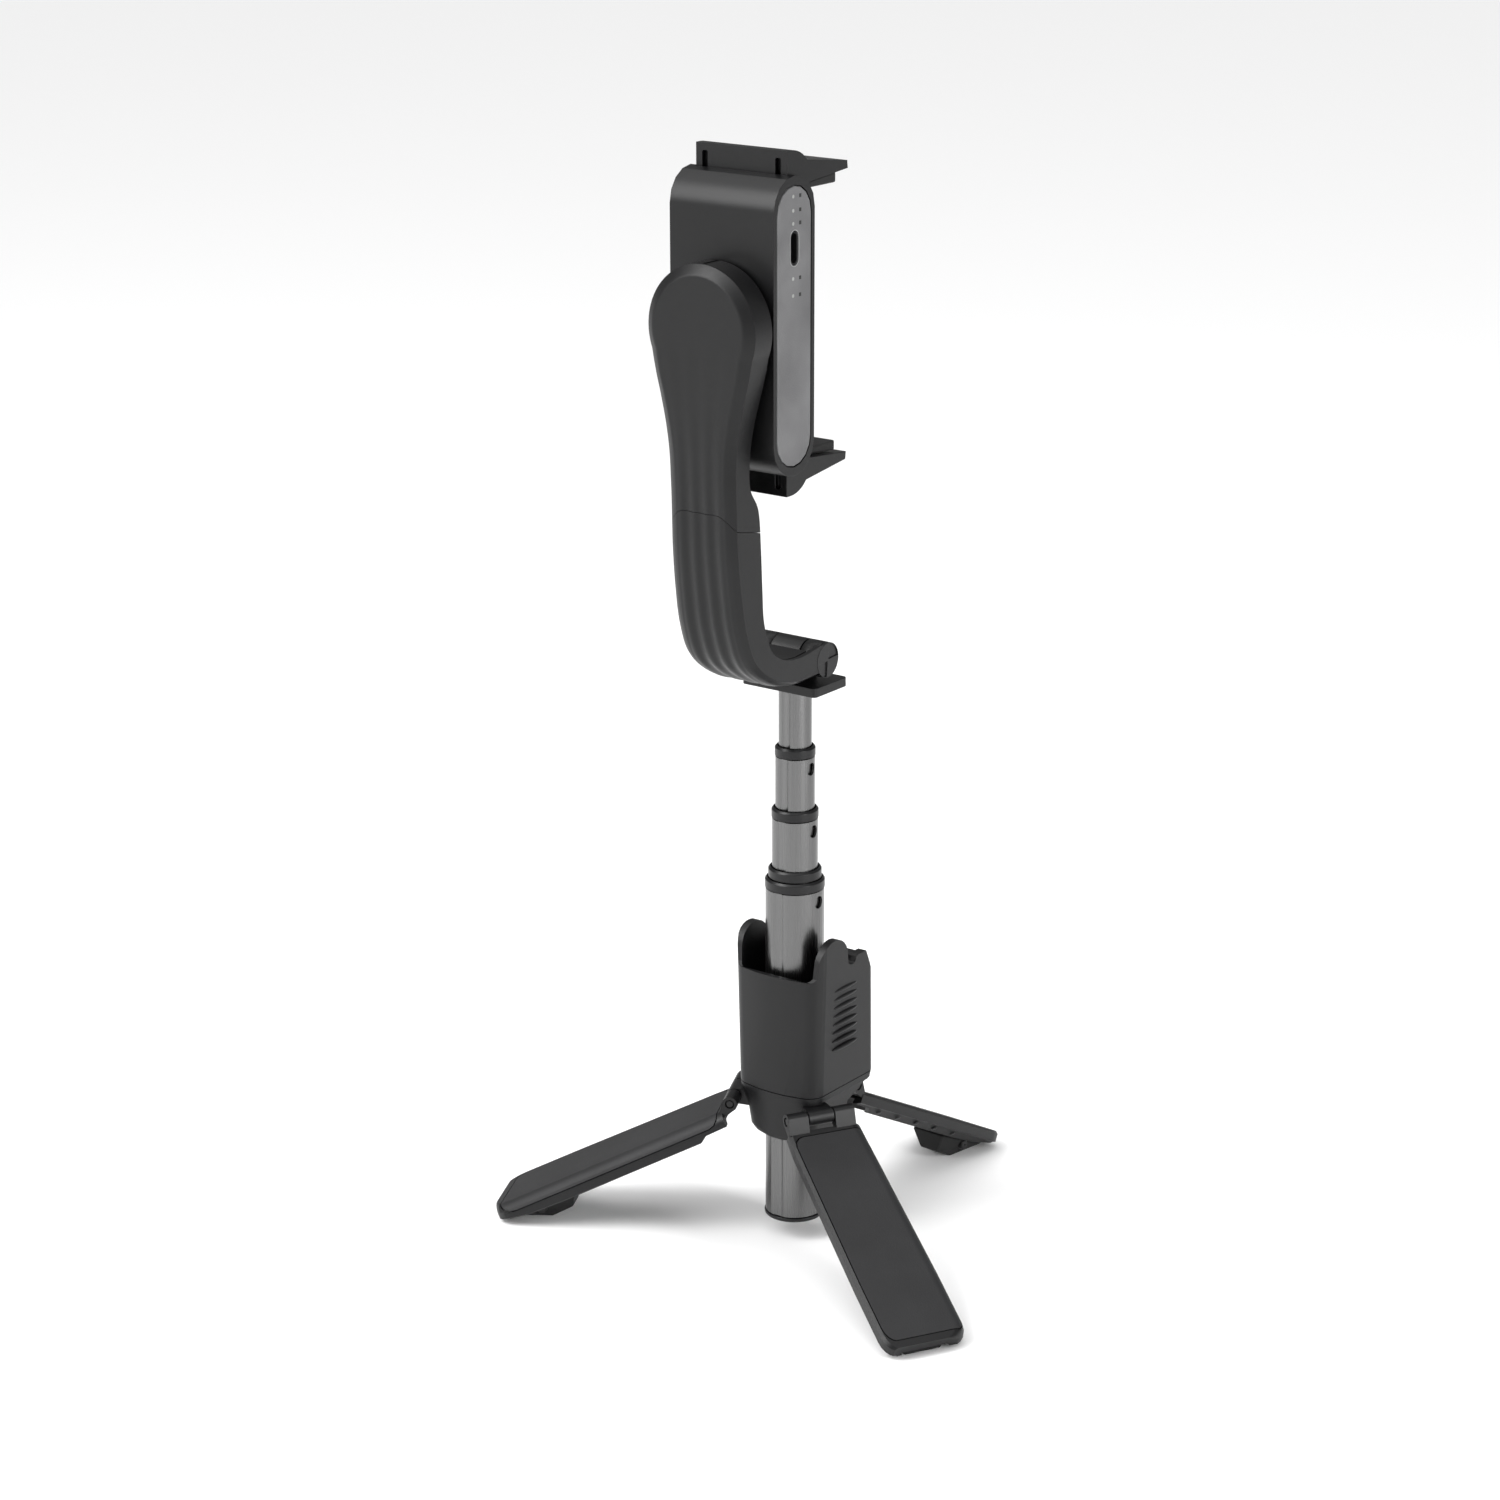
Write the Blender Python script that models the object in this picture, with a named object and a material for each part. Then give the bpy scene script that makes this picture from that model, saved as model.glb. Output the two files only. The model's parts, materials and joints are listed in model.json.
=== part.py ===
"""A one-axis phone gimbal on a telescopic column with a three-legged folding stand.

Sizes are in millimetres, and every helper turns them into metres. The column stands on the
Z axis of the empty "stand", the phone would face +Y, and the floor is at Z = 0.
"""

import math

import bmesh
import bpy
from mathutils import Matrix, Vector

MM = 0.001
GAP = 0.3                      # clearance between pieces that touch

# Stand
COLUMN_Y = -18.6               # column axis, so that the whole object is centred on the origin
SLEEVE_Z = (49.0, 97.0)        # bottom of the grip sleeve and top of its two ears
SLEEVE_HALF_WIDTH = (14.4, 15.6)
SLEEVE_FRONT = (20.2, 17.6)
SLEEVE_BACK = 12.0
SLEEVE_CORNER = 5.2
HUB_BOTTOM_Z = 33.4
EAR_RADIUS = 6.9
EAR_CENTRE = (-1.6, 89.6)      # (Y, Z) of the round top of each ear
BACK_EDGE_Z = 85.2
BOX_TOP_Z = 88.6
BORE_RADIUS = 8.95             # guide bushes, around the outer tube

# Legs
LEG_ANGLES = (87.0, 205.0, 330.0)     # the hub is D-shaped, so they are not quite even
LEG_PIN_RADIUS = 17.5
LEG_PIN_Z = 43.8
LEG_SLOPE = 27.5
LEG_HALF_WIDTH = (11.2, 12.3)
LEG_TOP = -1.3                 # top face of a leg, measured from its pin
LEG_LENGTH = 82.8
KNUCKLE_RADIUS = 2.3
TIP_RADIUS = 5.6
STEP_TIP_RADIUS = 3.4
SHOULDER = 4.0                       # radius of the shoulder that wraps over the neighbour leg
SHOULDER_EXTRA = 1.7
PANEL_WRAP = 70.0                    # degrees of the shoulder that the panel covers
PANEL_ENDS = (5.4, 80.2)
PANEL_RADII = (3.3, 5.0)
PANEL_MARGIN = 1.3

# Column: outer radius, bottom and top of each tube, and whether it has a detent hole
TUBE_WALL = 0.65
COLLAR_HEIGHT = 3.0
TUBES = {
    5: (8.6, 8.0, 112.9, True),
    4: (7.65, 17.0, 116.1, False),
    3: (6.7, 36.0, 134.2, True),
    2: (5.75, 54.0, 152.9, True),
    1: (4.8, 72.0, 170.6, False),
}
END_CAP_Z = 6.4
DETENT_DROP = 6.5              # below the top of the collar
DETENT_RADIUS = 1.9
PLATFORM_Z = (170.6, 173.6)
PLATFORM_HALF = (12.9, 8.0)
PLATFORM_Y = -0.4

# Tilting arm
TILT_AXIS = (-0.8, 180.3)      # (Y, Z)
BARREL_RADIUS = 5.15
BARREL_HALF = 12.0
KNUCKLE_HALF = 5.0
ROLL_Z = 280.0                 # height of the motor axis
HEAD_RADIUS = 18.0
ARM_SEAM_Z = 228.5
ARM_WALL = 1.6
HEAD_BACK_Y = -45.3
HEAD_FRONT_Y = -35.9

# Clamp, measured from the motor axis and the middle of the case's depth
CASE_MID_Y = -25.0
CASE_HALF_X = 17.4
CASE_HALF_Y = 9.4
CASE_HALF_Z = 41.0
CASE_WALL = 1.6
POCKET_FLOOR = 28.8
POCKET_HALF_X = 15.6
JAW_HALF_X = 15.2
JAW_TOP = 47.2
GRIP_HALF = 35.75              # half of the opening between the jaw pads
PINION_TEETH = 10
PINION_PITCH = 5.0
RACK_END = 20.0


# ---------------------------------------------------------------- helpers

def material(name, colour, roughness, metallic=0.0):
    made = bpy.data.materials.new(name)
    made.use_nodes = True
    shader = made.node_tree.nodes["Principled BSDF"]
    shader.inputs["Base Color"].default_value = (*colour, 1.0)
    shader.inputs["Roughness"].default_value = roughness
    shader.inputs["Metallic"].default_value = metallic
    return made


def empty(name, location, parent=None, rotation=(0.0, 0.0, 0.0)):
    made = bpy.data.objects.new(name, None)
    made.empty_display_size = 0.01
    made.location = Vector(location) * MM
    made.rotation_euler = [math.radians(angle) for angle in rotation]
    made.parent = parent
    bpy.context.collection.objects.link(made)
    return made


def solid(name, mesh, look, parent, smooth=30.0):
    """Makes an object of a closed bmesh whose points are in millimetres in the parent's frame."""
    bmesh.ops.recalc_face_normals(mesh, faces=mesh.faces)
    mesh.transform(Matrix.Scale(MM, 4))
    data = bpy.data.meshes.new(name)
    mesh.to_mesh(data)
    mesh.free()
    data.shade_smooth()
    data.set_sharp_from_angle(angle=math.radians(smooth))
    data.materials.append(look)
    made = bpy.data.objects.new(name, data)
    made.parent = parent
    bpy.context.collection.objects.link(made)
    return made


def loft(rings):
    """A closed bmesh through rings of equally many points, with a face over each end."""
    mesh = bmesh.new()
    loops = [[mesh.verts.new(point) for point in ring] for ring in rings]
    count = len(rings[0])
    for low, high in zip(loops, loops[1:]):
        for i in range(count):
            j = (i + 1) % count
            mesh.faces.new((low[i], low[j], high[j], high[i]))
    mesh.faces.new(loops[0][::-1])
    mesh.faces.new(loops[-1])
    return mesh


def along(axis, a, b, position):
    """A point from two coordinates across an axis and one along it."""
    return {"X": (position, a, b), "Y": (a, position, b), "Z": (a, b, position)}[axis]


def prism(outline, axis, low, high):
    return loft([[along(axis, a, b, place) for a, b in outline] for place in (low, high)])


def arc(centre, radius, start, end, steps):
    """Points on an arc, from one angle to another in degrees, both ends included."""
    angles = [math.radians(start + (end - start) * i / steps) for i in range(steps + 1)]
    return [(centre[0] + radius * math.cos(a), centre[1] + radius * math.sin(a)) for a in angles]


def circle(radius, steps=32, centre=(0.0, 0.0)):
    return arc(centre, radius, 0.0, 360.0, steps)[:-1]


def rounded_box(half_a, half_b, radius, steps=4, centre=(0.0, 0.0)):
    outline = []
    for turn, (side_a, side_b) in enumerate(((1, 1), (-1, 1), (-1, -1), (1, -1))):
        corner = (centre[0] + side_a * (half_a - radius), centre[1] + side_b * (half_b - radius))
        outline += arc(corner, radius, 90.0 * turn, 90.0 * (turn + 1), steps)
    return outline


def stadium(half_a, half_b, steps=8):
    """A slot outline, round at both ends of its long direction b."""
    reach = half_b - half_a
    return arc((0.0, reach), half_a, 0.0, 180.0, steps) + arc((0.0, -reach), half_a, 180.0, 360.0, steps)


def ring_mesh(outer, inner, low, high):
    """A tube along Z between two outlines of equally many points."""
    mesh = bmesh.new()
    levels = [[mesh.verts.new((a, b, z)) for a, b in outline]
              for outline, z in ((outer, low), (outer, high), (inner, high), (inner, low))]
    count = len(outer)
    for near, far in zip(levels, levels[1:] + levels[:1]):
        for i in range(count):
            j = (i + 1) % count
            mesh.faces.new((near[i], near[j], far[j], far[i]))
    return mesh


def turned(profile, axis="Z", steps=32, centre=(0.0, 0.0)):
    """A solid of revolution: a closed profile of (radius, position) points, none on the axis."""
    mesh = bmesh.new()
    loops = []
    for i in range(steps):
        angle = 2.0 * math.pi * i / steps
        loops.append([mesh.verts.new(along(axis, centre[0] + r * math.cos(angle),
                                           centre[1] + r * math.sin(angle), z)) for r, z in profile])
    count = len(profile)
    for here, after in zip(loops, loops[1:] + loops[:1]):
        for i in range(count):
            j = (i + 1) % count
            mesh.faces.new((here[i], here[j], after[j], after[i]))
    return mesh


def hull(points):
    mesh = bmesh.new()
    for point in points:
        mesh.verts.new(point)
    bmesh.ops.convex_hull(mesh, input=mesh.verts)
    return mesh


def boolean(target, mesh, operation, name):
    """Cuts a closed bmesh from an object, or joins it to the object."""
    tool = solid(name, mesh, target.data.materials[0], target.parent)
    tool.hide_render = True
    tool.display_type = "WIRE"
    change = target.modifiers.new(name, "BOOLEAN")
    change.operation = operation
    change.object = tool
    change.solver = "EXACT"


def cut(target, mesh, name):
    boolean(target, mesh, "DIFFERENCE", name)


def join(target, mesh, name):
    boolean(target, mesh, "UNION", name)


def mix(pair, share):
    return pair[0] + (pair[1] - pair[0]) * share


def smooth_path(keys, steps):
    """Catmull-Rom points through rows of numbers, with so many steps between two rows."""
    rows = []
    for i in range(len(keys) - 1):
        before, start, end, after = (keys[max(i - 1, 0)], keys[i], keys[i + 1],
                                     keys[min(i + 2, len(keys) - 1)])
        for step in range(steps):
            t = step / steps
            rows.append(tuple(
                0.5 * (2 * b + (c - a) * t + (2 * a - 5 * b + 4 * c - d) * t * t
                       + (3 * b - a - 3 * c + d) * t ** 3)
                for a, b, c, d in zip(before, start, end, after)))
    return rows + [tuple(keys[-1])]


# ---------------------------------------------------------------- stand

def sleeve_outline(half_width, front, back, corner):
    """Plan of the sleeve: square at the front, round corners and a slight crown at the back."""
    outline = arc((half_width - 1.6, front - 1.6), 1.6, 0.0, 90.0, 3)
    outline += arc((1.6 - half_width, front - 1.6), 1.6, 90.0, 180.0, 3)
    side = half_width - corner
    outline += arc((-side, corner - back + 1.2), corner, 180.0, 258.0, 5)
    outline += [(-side / 2.0, 0.15 - back), (0.0, -back), (side / 2.0, 0.15 - back)]
    outline += arc((side, corner - back + 1.2), corner, 282.0, 360.0, 5)
    return outline


def sleeve_top_cutter():
    """Everything above the sleeve's top edge, seen from the side, as (Y, Z) points."""
    ear_y, ear_z = EAR_CENTRE
    top = SLEEVE_Z[1] + 5.0
    edge = [(-30.0, top), (-30.0, BACK_EDGE_Z), (ear_y - EAR_RADIUS - 1.4, BACK_EDGE_Z),
            (ear_y - EAR_RADIUS - 0.3, BACK_EDGE_Z + 1.0)]
    edge += arc((ear_y, ear_z), EAR_RADIUS, 180.0, 20.0, 12)
    edge += arc((7.6, 89.0), 2.6, 215.0, 300.0, 4)
    edge += [(9.6, BOX_TOP_Z - 0.4), (10.6, BOX_TOP_Z), (14.6, BOX_TOP_Z), (17.4, 82.6), (30.0, 82.0),
             (30.0, top)]
    return prism(edge, "X", -30.0, 30.0)


def make_sleeve(stand, plastic, dark):
    low, high = SLEEVE_Z
    rings = []
    for share in (0.0, 0.5, 1.0):
        outline = sleeve_outline(mix(SLEEVE_HALF_WIDTH, share), mix(SLEEVE_FRONT, share),
                                 SLEEVE_BACK, SLEEVE_CORNER)
        rings.append([(x, y, mix((low, high), share)) for x, y in outline])
    sleeve = solid("sleeve_shell", loft(rings), plastic, stand)
    cut(sleeve, prism(circle(BORE_RADIUS + 1.2), "Z", low - 1.0, 72.0), "sleeve_bore")
    cavity = rounded_box(13.2, 9.7, 3.0, centre=(0.0, -0.6))
    cut(sleeve, prism(cavity, "Z", 70.0, high + 1.0), "sleeve_cavity")
    pocket = rounded_box(REMOTE_HALF + GAP, 10.0, 1.0, centre=(0.0, 20.8))
    cut(sleeve, prism(pocket, "Z", REMOTE_Z[0] - GAP, high + 1.0), "remote_pocket")
    cut(sleeve, sleeve_top_cutter(), "sleeve_top")
    solid("sleeve_bush_upper", ring_mesh(circle(9.85), circle(BORE_RADIUS), 61.0, 69.5), dark, stand)


REMOTE_HALF = 12.2
REMOTE_Z = (53.0, 87.6)


def make_remote(stand, plastic, button_look):
    """The shutter remote that is stored in the front of the sleeve."""
    front, (low, high) = 17.1, REMOTE_Z
    side = [(front - 5.8, low), (front, low), (front, high - 4.6), (front - 2.0, high), (front - 5.8, high)]
    body = solid("remote_body", prism(side, "X", -REMOTE_HALF, REMOTE_HALF), plastic, stand)
    cut(body, turned([(0.01, front - 2.4), (5.3, front - 2.4), (5.3, front + 1.0), (0.01, front + 1.0)],
                     "Y", 24, centre=(0.0, 70.0)), "remote_button_hole")
    pivot = empty("remote_button_travel", (0.0, front, 70.0), stand)
    solid("remote_button", prism(circle(5.0, 24), "Y", -1.2, 0.9), button_look, pivot)


def make_hub(stand, plastic, dark):
    levels = ((SLEEVE_Z[0] - GAP, 14.3, 20.2, 12.0), (46.9, 14.2, 19.6, 12.0), (41.6, 12.2, 11.0, 11.2),
              (35.6, 11.4, 10.4, 10.8), (HUB_BOTTOM_Z + 0.6, 10.4, 9.9, 10.2),
              (HUB_BOTTOM_Z, 9.9, 9.5, 9.7))
    rings = [[(x, y, z) for x, y in sleeve_outline(w, f, b, SLEEVE_CORNER)] for z, w, f, b in levels]
    hub = solid("hub_shell", loft(rings), plastic, stand)
    for i, angle in enumerate(LEG_ANGLES, 1):
        frame = empty(f"hub_side_{i}", (0.0, 0.0, 0.0), stand, (0.0, 0.0, angle))
        pin_at = (LEG_PIN_RADIUS, LEG_PIN_Z)
        clear = prism(circle(KNUCKLE_RADIUS + 0.5, 20, (pin_at[0], pin_at[1])), "Y", -13.5, 13.5)
        clear_tool = solid(f"knuckle_clearance_{i}", clear, plastic, frame)
        lug = prism([(9.9, pin_at[1] - 2.9), (pin_at[0], pin_at[1] - KNUCKLE_RADIUS)]
                    + arc(pin_at, KNUCKLE_RADIUS, -60.0, 90.0, 7) + [(10.6, pin_at[1] + KNUCKLE_RADIUS)],
                    "Y", -3.9, 3.9)
        lug_tool = solid(f"knuckle_lug_{i}", lug, plastic, frame)
        hole = prism(circle(1.4, 12, pin_at), "Y", -5.0, 5.0)
        hole_tool = solid(f"knuckle_hole_{i}", hole, plastic, frame)
        for tool, operation in ((clear_tool, "DIFFERENCE"), (lug_tool, "UNION"),
                                (hole_tool, "DIFFERENCE")):
            tool.hide_render = True
            tool.display_type = "WIRE"
            change = hub.modifiers.new(tool.name, "BOOLEAN")
            change.operation = operation
            change.object = tool
        solid(f"leg_pin_{i}", prism(circle(1.1, 12, pin_at), "Y", -10.4, 10.4), dark, frame)
    cut(hub, prism(circle(BORE_RADIUS + 0.15), "Z", HUB_BOTTOM_Z - 1.0, 60.0), "hub_bore")
    cut(hub, prism(circle(10.3), "Z", 35.6, 60.0), "hub_bush_seat")
    solid("sleeve_bush_lower", ring_mesh(circle(10.0), circle(BORE_RADIUS), 36.0, 48.0), dark, stand)


# ---------------------------------------------------------------- legs

def leg_section(x, half, bottom, inset=0.0):
    """Section of a leg: a flat top, on one side a step and a flange that slants inwards, and on
    the other a rounded shoulder that comes down over the neighbour's flange when folded."""
    shelf = LEG_TOP - 3.4
    slant = (shelf - 0.3 - bottom) * 1.2
    step = [(half - 0.9, LEG_TOP), (half, LEG_TOP - 0.8), (half, shelf), (half - 1.1, shelf - 0.3),
            (half - 1.1 - slant, bottom), (half - 2.5 - slant, bottom), (half - 2.6, LEG_TOP - 2.7)]
    wide = half + SHOULDER_EXTRA - inset
    outside = [(wide - SHOULDER, LEG_TOP)] + shoulder(wide, 0.0, (15.0, 30.0, 45.0, 60.0, 75.0, 90.0))
    inside = shoulder(wide, 2.6, (80.0, 45.0, 10.0))
    around = outside + [(wide, bottom + 0.4), (wide - 0.4, bottom), (wide - 2.2, bottom)] + inside
    return [(x, y, z) for y, z in around + [(-y, z) for y, z in reversed(step)]]


def shoulder(wide, depth, turns):
    """Points round the shoulder, depth under the skin, at these angles from the top."""
    reach = SHOULDER - depth
    return [(wide - SHOULDER + reach * math.sin(math.radians(t)),
             LEG_TOP - SHOULDER + reach * math.cos(math.radians(t))) for t in turns]


def leg_half_width(x):
    return mix(LEG_HALF_WIDTH, min(x / 60.0, 1.0))


def panel_sheet(grow, above, below):
    """The sheet that fills a leg's top and wraps over its shoulder, grown all round, between two
    depths under the skin. Its four corners are rounded."""
    start, end = PANEL_ENDS[0] - grow, PANEL_ENDS[1] + grow
    stations = []
    for turn in (8.0, 30.0, 58.0, 90.0):
        rounding = 1.0 - math.sin(math.radians(turn))
        stations.append((start + PANEL_RADII[0] * (1.0 - math.cos(math.radians(turn))),
                         PANEL_RADII[0] * rounding, PANEL_RADII[0] * rounding))
    stations.append((60.0, 0.0, 0.0))
    for turn in (90.0, 66.0, 44.0, 24.0, 8.0):
        rounding = 1.0 - math.sin(math.radians(turn))
        stations.append((end - PANEL_RADII[1] * (1.0 - math.cos(math.radians(turn))),
                         PANEL_RADII[1] * 0.6 * rounding, PANEL_RADII[1] * rounding))
    rings = []
    for x, step_inset, wrap_inset in stations:
        half = leg_half_width(x)
        wide = half + SHOULDER_EXTRA
        last = PANEL_WRAP + math.degrees((grow - wrap_inset) / SHOULDER)
        first_y = -(half - PANEL_MARGIN + grow - step_inset)
        turns = [last * k / 6.0 for k in range(7)]
        outer = [(first_y, LEG_TOP - above)] + shoulder(wide, above, turns)
        inner = [(first_y, LEG_TOP - below)] + shoulder(wide, below, turns)
        rings.append([(x, y, z) for y, z in outer + inner[::-1]])
    return loft(rings)


def make_leg(index, angle, stand, plastic, panel_look, rubber):
    turn = math.radians(angle)
    hinge = empty(f"leg_hinge_{index}",
                  (LEG_PIN_RADIUS * math.cos(turn), LEG_PIN_RADIUS * math.sin(turn), LEG_PIN_Z),
                  stand, (0.0, LEG_SLOPE, angle))
    rings = []
    for x, bottom in ((3.4, -5.4), (10.4, -5.6), (12.8, -7.1), (60.0, -7.1), (72.0, -6.8)):
        trim = 0.5 if x < 4.0 else 0.0
        rings.append(leg_section(x, leg_half_width(x) - trim, bottom, -trim))
    for turn in (0.0, 20.0, 40.0, 58.0, 72.0):
        reach, inset = math.sin(math.radians(turn)), 1.0 - math.cos(math.radians(turn))
        x = LEG_LENGTH - TIP_RADIUS * (math.sin(math.radians(72.0)) - reach)
        rings.append(leg_section(x, LEG_HALF_WIDTH[1] - STEP_TIP_RADIUS * inset, -5.9 + 0.7 * reach,
                                 (TIP_RADIUS - STEP_TIP_RADIUS) * inset))
    frame = solid(f"leg_frame_{index}", loft(rings), plastic, hinge)
    for side in (-1, 1):
        ear = [(4.2, -KNUCKLE_RADIUS - 1.0), (4.2, LEG_TOP)] + [
            (x, z) for x, z in arc((0.0, 0.0), KNUCKLE_RADIUS, 60.0, 270.0, 9)]
        join(frame, prism(ear, "Y", *sorted((side * 4.3, side * 10.6))), f"leg_ear_{index}_{side + 2}")
    cut(frame, prism(circle(1.4, 12), "Y", -12.0, 12.0), f"leg_pin_hole_{index}")
    cut(frame, panel_sheet(GAP, -1.0, 1.2), f"leg_recess_{index}")
    solid(f"leg_panel_{index}", panel_sheet(0.0, 0.0, 0.9), panel_look, hinge)
    make_foot(index, hinge, rubber)


def leg_frame_point(radius, z):
    """A point of the floor plan turned into the leg's own (x, z)."""
    slope = math.radians(LEG_SLOPE)
    out, down = radius - LEG_PIN_RADIUS, LEG_PIN_Z - z
    return out * math.cos(slope) + down * math.sin(slope), out * math.sin(slope) - down * math.cos(slope)


def make_foot(index, hinge, rubber):
    """A wedge under the tip, flat on the floor, slanted so that the three feet nest when folded."""
    toe = leg_frame_point(87.3, 0.0)
    heel = leg_frame_point(73.4, 0.0)
    rise = leg_frame_point(67.4, 3.4)
    points = []
    for side in (-1, 1):
        points += [(59.0, side * 5.8, -7.5), (rise[0], side * 3.4, rise[1]),
                   (heel[0], side * 3.6, heel[1]), (toe[0], side * 5.4, toe[1]),
                   (76.0, side * 8.2, -7.1), (80.8, side * 7.2, -5.6)]
    solid(f"leg_foot_{index}", hull(points), rubber, hinge)


# ---------------------------------------------------------------- column

def keyed_circle(radius, half_key, depth, steps=40):
    """A circle with a flat-bottomed key groove facing -Y."""
    edge = math.degrees(math.asin(half_key / radius))
    points = arc((0.0, 0.0), radius, -90.0 + edge, 270.0 - edge, steps)
    floor = radius * math.cos(math.radians(edge)) - depth
    return points + [(-half_key + 0.15, -floor), (half_key - 0.15, -floor)]


def make_column(stand, metal, dark):
    slides = {}
    parent = stand
    for number, (radius, low, high, holed) in TUBES.items():
        slide = empty(f"tube_{number}_slide", (0.0, 0.0, 0.0), parent)
        slides[number] = slide
        parent = slide
        top = high if number == 1 else high - COLLAR_HEIGHT - GAP
        outer = keyed_circle(radius, 1.5, 0.2)
        inner = keyed_circle(radius - TUBE_WALL, 1.5, 0.2)
        tube = solid(f"tube_{number}", ring_mesh(outer, inner, low, top), metal, slide)
        if holed:
            hole = prism(circle(DETENT_RADIUS, 16, (0.0, high - DETENT_DROP)), "X", 0.5, radius + 2.0)
            cut(tube, hole, f"detent_hole_{number}")
        if number > 1:
            bore = TUBES[number - 1][0] + GAP
            rim = radius + 0.15
            profile = [(bore, top + GAP), (rim, top + GAP), (rim, high - 0.6), (rim - 0.5, high),
                       (bore, high)]
            solid(f"tube_{number}_collar", turned(profile, steps=40), dark, slide)
    low = TUBES[5][1]
    cap = [(2.0, END_CAP_Z), (8.5, END_CAP_Z), (8.9, END_CAP_Z + 0.4), (8.9, low - GAP), (2.0, low - GAP)]
    solid("tube_5_end_cap", turned(cap, steps=40), dark, slides[5])
    return slides[1]


def make_platform(top_slide, plastic, steel):
    axis_y, axis_z = TILT_AXIS
    low, high = PLATFORM_Z
    plate = rounded_box(*PLATFORM_HALF, 1.2, 3, centre=(0.0, PLATFORM_Y))
    platform = solid("platform", prism(plate, "Z", low + GAP, high), plastic, top_slide)
    stem = arc((axis_y, axis_z), BARREL_RADIUS, -20.0, 200.0, 20) + [(axis_y - 4.4, high - 1.0),
                                                                  (axis_y + 4.4, high - 1.0)]
    join(platform, prism(stem, "X", -KNUCKLE_HALF, KNUCKLE_HALF), "platform_knuckle")
    cut(platform, prism(circle(1.8, 16, (axis_y, axis_z)), "X", -8.0, 8.0), "platform_pin_hole")
    solid("tilt_pin", prism(circle(1.5, 16, (axis_y, axis_z)), "X", -10.6, 10.6), steel, top_slide)


# ---------------------------------------------------------------- arm

# Back face (Y, Z), front face (Y, Z) and half width, from the neck down to the barrel
ARM_KEYS = (
    (-45.3, 262.0, -36.2, 262.0, 14.2),
    (-45.2, 254.0, -36.8, 254.0, 12.5),
    (-45.1, 246.0, -37.0, 246.0, 11.4),
    (-44.9, 238.0, -36.6, 237.0, 11.1),
    (-44.6, 230.0, -32.8, 230.0, 11.1),
    (-44.2, 219.0, -31.8, 219.0, 11.2),
    (-42.9, 207.0, -31.4, 207.0, 11.4),
    (-40.7, 195.5, -30.9, 198.0, 11.6),
    (-36.2, 185.6, -28.0, 189.6, 11.8),
    (-27.0, 178.8, -22.4, 185.4, 11.9),
    (-16.0, 175.6, -14.4, 184.0, 11.9),
    (-5.2, 175.6, -4.2, 185.2, 11.9),
)


def arm_section(row, closed):
    """One section of the arm as points: a channel open at its front, or the strip that closes it."""
    back_y, back_z, front_y, front_z, half = row
    back = Vector((0.0, back_y - TILT_AXIS[0], back_z - TILT_AXIS[1]))
    depth = Vector((0.0, front_y - back_y, front_z - back_z))
    thick = depth.length
    inward = depth.normalized()
    inner = half - ARM_WALL
    if closed:
        rest = inner - GAP
        flat = [(-rest, thick - 1.5), (rest, thick - 1.5), (rest, thick), (-rest, thick)]
    else:
        chamfer = 1.8
        flat = [(-half, thick), (-half, chamfer), (chamfer - half, 0.0), (half - chamfer, 0.0),
                (half, chamfer), (half, thick), (inner, thick), (inner, ARM_WALL + 0.2),
                (-inner, ARM_WALL + 0.2), (-inner, thick)]
    return [back + inward * deep + Vector((across, 0.0, 0.0)) for across, deep in flat]


def head_rows():
    """Rows of the round head, down from its crown to where the neck begins."""
    rows = []
    for angle in (84.0, 72.0, 60.0, 48.0, 36.0, 24.0, 12.0, 0.0, -12.0, -22.0):
        turn = math.radians(angle)
        z = ROLL_Z + HEAD_RADIUS * math.sin(turn)
        rows.append((HEAD_BACK_Y, z, HEAD_FRONT_Y, z, HEAD_RADIUS * math.cos(turn)))
    return rows


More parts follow.
